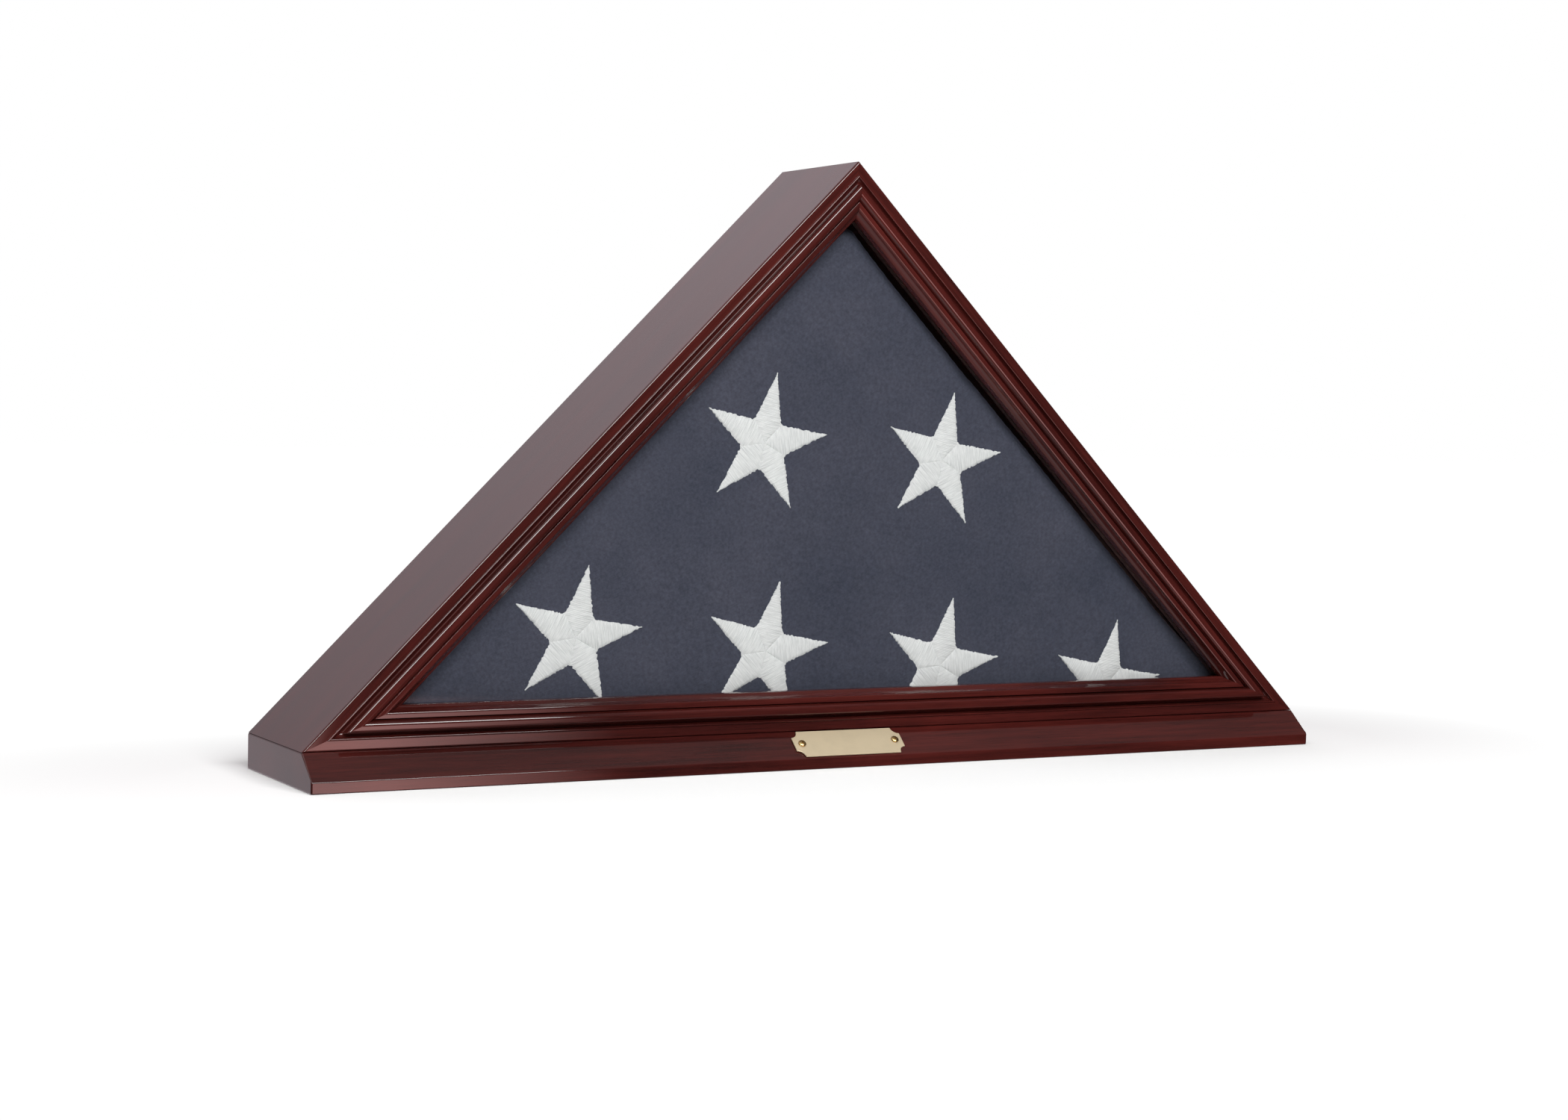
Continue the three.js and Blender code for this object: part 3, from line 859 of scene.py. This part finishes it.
# ---- nameplate -------------------------------------------------------------------------------
def nameplate():
    half_length, half_height = PLATE_LENGTH / 2, PLATE_HEIGHT / 2
    outline = []
    for corner, start in (((-1, -1), 90), ((1, -1), 180), ((1, 1), 270), ((-1, 1), 360)):
        centre = (corner[0] * half_length, corner[1] * half_height)
        outline += arc(centre, (PLATE_SCOOP, PLATE_SCOOP), start, start - 90, 10)
    low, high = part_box("nameplate")
    middle = (low + high) / 2
    shape = bmesh.new()
    seat = middle - SLOPE_OUT * PLATE_THICKNESS / 2 * MM
    ring = [
        shape.verts.new(seat + Vector((1, 0, 0)) * x * MM + SLOPE_UP * z * MM) for x, z in outline
    ]
    shape.faces.new(ring)
    risen = bmesh.ops.extrude_face_region(shape, geom=list(shape.faces))["geom"]
    top = [item for item in risen if isinstance(item, bmesh.types.BMVert)]
    bmesh.ops.translate(shape, verts=top, vec=SLOPE_OUT * PLATE_THICKNESS * MM)
    bmesh.ops.recalc_face_normals(shape, faces=shape.faces)
    plate = new_object("engraving_plate", shape, PLATE_BRASS)
    bevel(plate, 0.22, 3, 50)
    cutters = hole_cutters(
        ["nameplate_screw_left", "nameplate_screw_right"], 1.2, SLOPE_OUT, 5, 6
    )
    subtract(plate, cutters)
    soften(plate, 40)
    return finish_piece(plate, "case", ["nameplate"])


nameplate()


# ---- turn buttons ----------------------------------------------------------------------------
def turn_button(number):
    """A small stamped brass bar with round ends, pivoting on its screw."""
    cad_name = f"turn_button_{number}"
    low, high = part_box(cad_name)
    pivot = node_top(f"turn_button_screw_{number}", BACKWARDS)
    middle = (low + high) / 2
    tongue = Vector((middle.x - pivot.x, 0, middle.z - pivot.z)).normalized()
    across = BACKWARDS.cross(tongue)
    radius = BUTTON_WIDTH / 2
    reach = BUTTON_LENGTH - BUTTON_WIDTH
    outline = arc((0, 0), (radius, radius), 90, 270, 16)
    outline += arc((reach, 0), (radius, radius), -90, 90, 16)
    shape = bmesh.new()
    ring = [
        shape.verts.new(
            Vector((pivot.x, low.y, pivot.z)) + tongue * x * MM + across * z * MM
        )
        for x, z in outline
    ]
    shape.faces.new(ring)
    risen = bmesh.ops.extrude_face_region(shape, geom=list(shape.faces))["geom"]
    top = [item for item in risen if isinstance(item, bmesh.types.BMVert)]
    bmesh.ops.translate(shape, verts=top, vec=BACKWARDS * BUTTON_THICKNESS * MM)
    bmesh.ops.recalc_face_normals(shape, faces=shape.faces)
    button = new_object(f"button_{number}", shape, BRASS)
    bevel(button, 0.4, 3, 50)
    hole = [(0, -5), (1.8, -5), (1.8, 5), (0, 5)]
    hole_place = Vector((pivot.x, high.y, pivot.z))
    subtract(button, [new_object("cutter", lathe(hole, hole_place, BACKWARDS, 24), None)])
    soften(button, 40)
    return finish_piece(button, cad_name, [cad_name])


for number in range(1, 7):
    turn_button(number)


# ---- back panel, glass and glass stops -------------------------------------------------------
def dress(cad_name, material, ease=0.0):
    """Gives a CAD node its material, and eased edges if asked for."""
    piece = nodes[cad_name]
    piece.data.materials.clear()
    piece.data.materials.append(material)
    if ease:
        weld = piece.modifiers.new("weld", "WELD")
        weld.merge_threshold = 0.01 * MM
        modifier = piece.modifiers.new("eased", "BEVEL")
        modifier.width = ease * MM
        modifier.segments = 3
        modifier.limit_method = "ANGLE"
        modifier.angle_limit = math.radians(40)
    return piece


dress("back_panel", BOARD, 0.5)
pane = dress("glass_pane", GLASS)
pane.visible_shadow = False
for side in ("left", "right", "bottom"):
    dress(f"glass_stop_{side}", STAINED, 0.3)


# ---- the folded flag -------------------------------------------------------------------------
FLAG_VOXEL = 5.5
FLAG_PRESSURE = 4.0
FLAG_CAP = 6.0
FLAG_SHRINK = 2.5
FLAG_STEPS = 20


FLAG_SIDE = BOARD_THICKNESS + 0.8
FLAG_BOTTOM = PLINTH_THICKNESS + 0.4
SIDE_SLACK, SIDE_REACH = 4.5, 16.0
FRONT_SLACK, FRONT_REACH = 3.4, 11.0


def pressed(distance, slack, reach):
    """A distance from a wall once the cloth lies against it: what is within the slack touches."""
    if distance >= reach:
        return distance
    return max(0.0, distance - slack) * reach / (reach - slack)


def flag_limits(point, packed=False):
    """A point held inside the space between the glass stops, the boards and the back panel;
    packed also presses the cloth out against the glass stops, the boards and the plinth."""
    x, y, z = point / MM
    front, bottom = y - FACE_Y - FLAG_FRONT, z - FLAG_BOTTOM
    if packed:
        front = pressed(front, FRONT_SLACK, FRONT_REACH)
        bottom = pressed(bottom, SIDE_SLACK, SIDE_REACH)
    y = FACE_Y + min(FLAG_FRONT + max(front, 0.0), FLAG_BACK)
    flat = Vector((x, FLAG_BOTTOM + max(bottom, 0.0)))
    for run in (LEFT_RUN, RIGHT_RUN):
        spare = (flat - run.start).dot(run.inward) - FLAG_SIDE
        wanted = pressed(spare, SIDE_SLACK, SIDE_REACH) if packed else max(spare, 0.0)
        flat += run.inward * (wanted - spare)
    return Vector((flat.x, y, flat.y)) * MM


def simulate_flag(made):
    """Rounds the folded bundle off and puffs it up with cloth pressure, within a cap."""
    remesh = made.modifiers.new("voxels", "REMESH")
    remesh.mode = "VOXEL"
    remesh.voxel_size = FLAG_VOXEL * MM
    apply_modifiers(made)
    start = [v.co.copy() for v in made.data.vertices]
    cloth = made.modifiers.new("cloth", "CLOTH")
    cloth.settings.quality = 6
    cloth.settings.mass = 0.3
    cloth.settings.tension_stiffness = 20
    cloth.settings.bending_stiffness = 1.5
    cloth.settings.use_pressure = True
    cloth.settings.uniform_pressure_force = FLAG_PRESSURE
    cloth.settings.effector_weights.gravity = 0
    for step in range(1, FLAG_STEPS + 1):
        bpy.context.scene.frame_set(step)
    apply_modifiers(made)
    bpy.context.scene.frame_set(1)
    for vert, rest in zip(made.data.vertices, start):
        moved = vert.co - rest
        if moved.length > FLAG_CAP * MM:
            vert.co = rest + moved.normalized() * FLAG_CAP * MM
    modifier = made.modifiers.new("finer", "SUBSURF")
    modifier.levels = modifier.render_levels = 1
    apply_modifiers(made)


def step_across(value, width):
    """0 to 1, rising smoothly over a width centred on 0."""
    t = min(max(value / width + 0.5, 0), 1)
    return t * t * (3 - 2 * t)


# Edges of the last flaps, on the flag's back: a point on the edge, its direction and its rise.
BACK_FOLDS = [
    ((-60, 20), (1, 1), 1.6),
    ((90, 20), (-1, 1), 1.3),
    ((-200, 20), (1, 0.12), 0.9),
]
# Centre (across, up) in millimetres and tilt in degrees of each hand-sewn star.
STARS = [
    (Vector((-47.9, 175.9)), STAR_TILT),
    (Vector((65.8, 167.5)), STAR_TILT),
    (Vector((-158.0, 71.9)), STAR_TILT),
    (Vector((-44.6, 62.2)), STAR_TILT - 1.6),
    (Vector((67.8, 51.5)), STAR_TILT - 1.4),
    (Vector((182.5, 36.9)), STAR_TILT),
]


def pucker(x, z):
    """How far the cloth draws in, in millimetres, beside the stitching of each star."""
    total = 0.0
    for centre, tilt in STARS:
        arm = Vector((x, z)) - centre
        reach = arm.length
        if reach > STAR_RADIUS * 1.6:
            continue
        turn = math.atan2(arm.y, arm.x) - math.radians(90 + tilt)
        ripple = math.cos(5 * turn + math.pi) * 0.5 + math.cos(13 * turn) * 0.22
        ring = math.exp(-(((reach - STAR_RADIUS * 0.62) / (STAR_RADIUS * 0.42)) ** 2))
        total += ring * (0.55 + 0.6 * ripple)
    return total


def flag_relief(point):
    """Shallow wrinkles on the front, layered flaps on the back."""
    x, y, z = point / MM
    middle = FACE_Y + (FLAG_FRONT + FLAG_BACK) / 2
    if y > middle:
        near_back = step_across(y - (FACE_Y + FLAG_BACK - 12), 6)
        rise = 0.0
        for (px, pz), direction, height in BACK_FOLDS:
            normal = Vector((-direction[1], direction[0])).normalized()
            rise += height * (1 - step_across((Vector((x - px, z - pz))).dot(normal), 1.6))
        return Vector((0, -(3.2 - rise) * near_back * MM, 0))
    near_front = step_across((FACE_Y + FLAG_FRONT + 10) - y, 12)
    broad = noise.noise(Vector((x / 75, z / 75, 1.3))) * 0.7
    crease = noise.noise(Vector(((x + z) / 26, (z - x) / 120, 7.1))) * 0.35
    return Vector((0, near_front * (0.5 + broad + crease + 0.45 * pucker(x, z)) * MM, 0))


def folded_flag():
    source = nodes["folded_flag"]
    shape = bmesh.new()
    shape.from_mesh(source.data)
    bmesh.ops.remove_doubles(shape, verts=shape.verts, dist=0.01 * MM)
    low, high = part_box("folded_flag")
    middle = (low + high) / 2
    for vert in shape.verts:
        for axis in range(3):
            half = (high[axis] - low[axis]) / 2
            vert.co[axis] = middle[axis] + (vert.co[axis] - middle[axis]) * (
                1 - FLAG_SHRINK * MM / half
            )
    flag = new_object("flag", shape, CLOTH)
    simulate_flag(flag)
    for vert in flag.data.vertices:
        vert.co = flag_limits(vert.co, packed=True)
        vert.co = flag_limits(vert.co + flag_relief(vert.co))
    soften(flag, 180)
    return finish_piece(flag, "case", ["folded_flag"])


flag = folded_flag()
bpy.context.view_layer.update()
flag_surface = BVHTree.FromObject(flag, bpy.context.evaluated_depsgraph_get())


FLAG_SEARCH = 40  # how deep behind the moulding's face the cloth is looked for


def flag_depth(x, z):
    """Where the cloth's front lies under a point given in millimetres, or None beside the flag."""
    start = Vector((x, FACE_Y, z)) * MM
    hit = flag_surface.ray_cast(start, BACKWARDS, FLAG_SEARCH * MM)[0]
    return hit.y / MM if hit else None


# ---- embroidered stars -----------------------------------------------------------------------
ROW_STEP = 0.6
COLUMNS = 10
JAG = 0.45  # unevenness of the stitches' ends
NARROWEST = 0.28  # half the width of a row at an arm's tip
EDGE_TUCK = 0.35  # how far the outer edge dips into the cloth
STITCH_LIMIT = 9  # cloth further back than this behind the flag's front carries no stitches


def star_arm(shape, uv_layer, centre, turn, dice):
    """One arm, from the star's middle to its tip, in rows of stitches that lie across it."""
    axis = Vector((math.cos(turn), math.sin(turn)))
    side = Vector((-axis.y, axis.x))
    shoulder = STAR_INNER_RADIUS * math.cos(math.radians(36))
    shoulder_half = STAR_INNER_RADIUS * math.sin(math.radians(36))
    count = round(STAR_RADIUS / ROW_STEP)
    rows = []
    for i in range(count + 1):
        reach = STAR_RADIUS * i / count
        if reach < shoulder:
            half = shoulder_half * reach / shoulder
            jag = 0.0
        else:
            half = shoulder_half * (STAR_RADIUS - reach) / (STAR_RADIUS - shoulder)
            jag = dice.uniform(-JAG, JAG)
        half = max(half + jag, NARROWEST)
        swell = STAR_RELIEF * min(1.0, 0.55 + half / 9) * (0.72 + 0.28 * min(1, reach / 9))
        row = []
        for j in range(COLUMNS + 1):
            t = 2 * j / COLUMNS - 1
            edge = 0.0 if reach >= shoulder else 0.42
            height = swell * (edge + (1 - edge) * math.sqrt(max(0.0, 1 - abs(t) ** 3.2)))
            if reach >= shoulder and abs(t) == 1:
                height = -EDGE_TUCK
            point = centre + axis * reach + side * half * t
            depth = flag_depth(point.x, point.y)
            if depth is None or depth > FACE_Y + FLAG_FRONT + STITCH_LIMIT:
                row.append(None)
                continue
            vert = shape.verts.new(Vector((point.x, depth - height, point.y)) * MM)
            row.append((vert, (half * t, reach)))
        rows.append(row)
    for near, far in zip(rows, rows[1:]):
        for j in range(COLUMNS):
            corners = [near[j], near[j + 1], far[j + 1], far[j]]
            if None in corners:
                continue
            face = shape.faces.new([vert for vert, _ in corners])
            for loop, (_, place) in zip(face.loops, corners):
                loop[uv_layer].uv = place


def star(number, centre, tilt):
    dice = random.Random(100 + number)
    shape = bmesh.new()
    uv_layer = shape.loops.layers.uv.new("stitch")
    for arm in range(5):
        star_arm(shape, uv_layer, centre, math.radians(90 + tilt + 72 * arm), dice)
    bmesh.ops.recalc_face_normals(shape, faces=shape.faces)
    if sum(face.normal.y for face in shape.faces) > 0:
        bmesh.ops.reverse_faces(shape, faces=shape.faces)
    made = new_object(f"star_{number}", shape, THREAD)
    for polygon in made.data.polygons:
        polygon.use_smooth = True
    return finish_piece(made, "case")


for number, (centre, tilt) in enumerate(STARS, 1):
    star(number, centre, tilt)


# ---- studio ----------------------------------------------------------------------------------
PAPER_REACH, GLOW_REACH = 0.075, 0.2  # metres from the case: all paper, all glow


def floor():
    """A pale floor that turns into an even glow away from the object, like a lit sweep."""
    shape = bmesh.new()
    bmesh.ops.create_grid(shape, x_segments=8, y_segments=8, size=9.0)
    material, tree = new_material("pale_floor")
    place = node(tree, "ShaderNodeTexCoord").outputs["Object"]
    x, y, _ = node(tree, "ShaderNodeSeparateXYZ", {0: place}).outputs
    beside = math_node(tree, "SUBTRACT", math_node(tree, "ABSOLUTE", x), WIDTH / 2 * MM)
    beside = math_node(tree, "MAXIMUM", beside, 0.0)
    away = node(tree, "ShaderNodeCombineXYZ", {0: beside, 1: y}).outputs[0]
    reach = node(tree, "ShaderNodeVectorMath", {0: away}, operation="LENGTH").outputs["Value"]
    far = span(tree, reach, PAPER_REACH, GLOW_REACH, 0, 1)
    paper = principled(
        tree, {"Base Color": (0.93, 0.93, 0.925, 1), "Roughness": 0.9, "Specular IOR Level": 0.0}
    )
    glow = node(tree, "ShaderNodeEmission", {"Color": (1, 1, 1, 1), "Strength": 1.02}).outputs[0]
    surface(tree, node(tree, "ShaderNodeMixShader", {0: far, 1: paper, 2: glow}).outputs["Shader"])
    made = new_object("floor", shape, material)
    made.visible_glossy = False


def softbox(name, azimuth, elevation, distance, size, radiance, target=(0, 0, 0.12)):
    """A rectangular lamp facing the object; azimuth 0 is straight in front, positive to the right."""
    a, e = math.radians(azimuth), math.radians(elevation)
    back = Vector((math.sin(a) * math.cos(e), -math.cos(a) * math.cos(e), math.sin(e)))
    lamp = bpy.data.lights.new(name, "AREA")
    lamp.shape = "RECTANGLE"
    lamp.size, lamp.size_y = size
    lamp.energy = radiance * math.pi * size[0] * size[1]
    made = bpy.data.objects.new(name, lamp)
    made.location = Vector(target) + back * distance
    made.rotation_mode = "QUATERNION"
    made.rotation_quaternion = (-back).to_track_quat("-Z", "Y")
    made.visible_camera = False
    bpy.context.scene.collection.objects.link(made)
    return made


# Radiances of what the lacquer, the brass and the glass reflect, and the tint of the sweep.
SWEEP_LOW, SWEEP_MIDDLE, SWEEP_HIGH = 0.62, 0.4, 0.95
TOP_LIGHT, GROUND_LIGHT, ROOM_LIGHT = 0.25, 0.6, 0.012
SWEEP_TINT = (1.0, 0.88, 0.94, 1)
WARM_PATCH = (4.5, 2.5, 2.4)


def studio_world():
    """White for the camera. For all other rays, a pale sweep behind, a dim top, a lit ground
    and darkness in front, with one warm patch low on the right of it."""
    world = bpy.data.worlds.new("studio")
    bpy.context.scene.world = world
    world.use_nodes = True
    tree = world.node_tree
    tree.nodes.clear()
    direction = node(tree, "ShaderNodeTexCoord").outputs["Generated"]
    x, y, z = node(tree, "ShaderNodeSeparateXYZ", {0: direction}).outputs
    behind = span(tree, y, 0.3, 0.75, 0, 1, smooth=True)
    low = span(tree, z, -0.1, 0.15, SWEEP_LOW, SWEEP_MIDDLE)
    high = span(tree, z, 0.28, 0.55, SWEEP_MIDDLE, SWEEP_HIGH)
    sweep = math_node(tree, "MULTIPLY", behind, math_node(tree, "MAXIMUM", low, high))
    above = span(tree, z, 0.55, 0.95, 0, TOP_LIGHT, smooth=True)
    below = span(tree, z, -0.5, -0.9, 0, GROUND_LIGHT, smooth=True)
    light = math_node(tree, "ADD", math_node(tree, "MAXIMUM", sweep, above), below)
    light = math_node(tree, "ADD", light, ROOM_LIGHT)
    patch = span(tree, x, 0.06, 0.14, 0, 1)
    for value, outer, inner in ((x, 0.42, 0.34), (y, -0.80, -0.87), (z, -0.108, -0.124)):
        patch = math_node(tree, "MULTIPLY", patch, span(tree, value, outer, inner, 0, 1))
    glow = mix_colors(tree, behind, (1, 1, 1, 1), SWEEP_TINT)
    glow = node(tree, "ShaderNodeVectorMath", {0: glow, "Scale": light}, operation="SCALE").outputs[0]
    warm = node(
        tree, "ShaderNodeVectorMath", {0: WARM_PATCH, "Scale": patch}, operation="SCALE"
    ).outputs[0]
    glow = node(tree, "ShaderNodeVectorMath", {0: glow, 1: warm}, operation="ADD").outputs[0]
    seen = node(tree, "ShaderNodeLightPath").outputs["Is Camera Ray"]
    color = mix_colors(tree, seen, glow, (1, 1, 1, 1))
    background = node(tree, "ShaderNodeBackground", {"Color": color, "Strength": 1.0}).outputs[0]
    node(tree, "ShaderNodeOutputWorld", {"Surface": background})


CAMERA_PLACE = (-0.7369, -1.3177, 0.1946)
CAMERA_YAW, CAMERA_PITCH, CAMERA_ROLL = 28.54, 3.21, 1.25  # degrees: right, down, clockwise
CAMERA_LENS = 61.79


def camera():
    yaw, pitch, roll = (math.radians(a) for a in (CAMERA_YAW, CAMERA_PITCH, CAMERA_ROLL))
    forward = Vector(
        (math.sin(yaw) * math.cos(pitch), math.cos(yaw) * math.cos(pitch), -math.sin(pitch))
    )
    level = Vector((math.cos(yaw), -math.sin(yaw), 0))
    upright = level.cross(forward)
    right = level * math.cos(roll) + upright * math.sin(roll)
    up = upright * math.cos(roll) - level * math.sin(roll)
    data = bpy.data.cameras.new("photo_view")
    data.sensor_width = 36
    data.lens = CAMERA_LENS
    data.clip_start, data.clip_end = 0.01, 50
    made = bpy.data.objects.new("photo_view", data)
    turn = Matrix((right, up, -forward)).transposed().to_4x4()
    made.matrix_world = Matrix.Translation(CAMERA_PLACE) @ turn
    bpy.context.scene.collection.objects.link(made)
    bpy.context.scene.camera = made


floor()
studio_world()
softbox("key", -8, 34, 2.0, (2.0, 0.5), 18.0)
softbox("left_fill", -75, 55, 1.8, (0.9, 0.7), 2.0)
camera()
bpy.context.scene.view_settings.view_transform = "Standard"
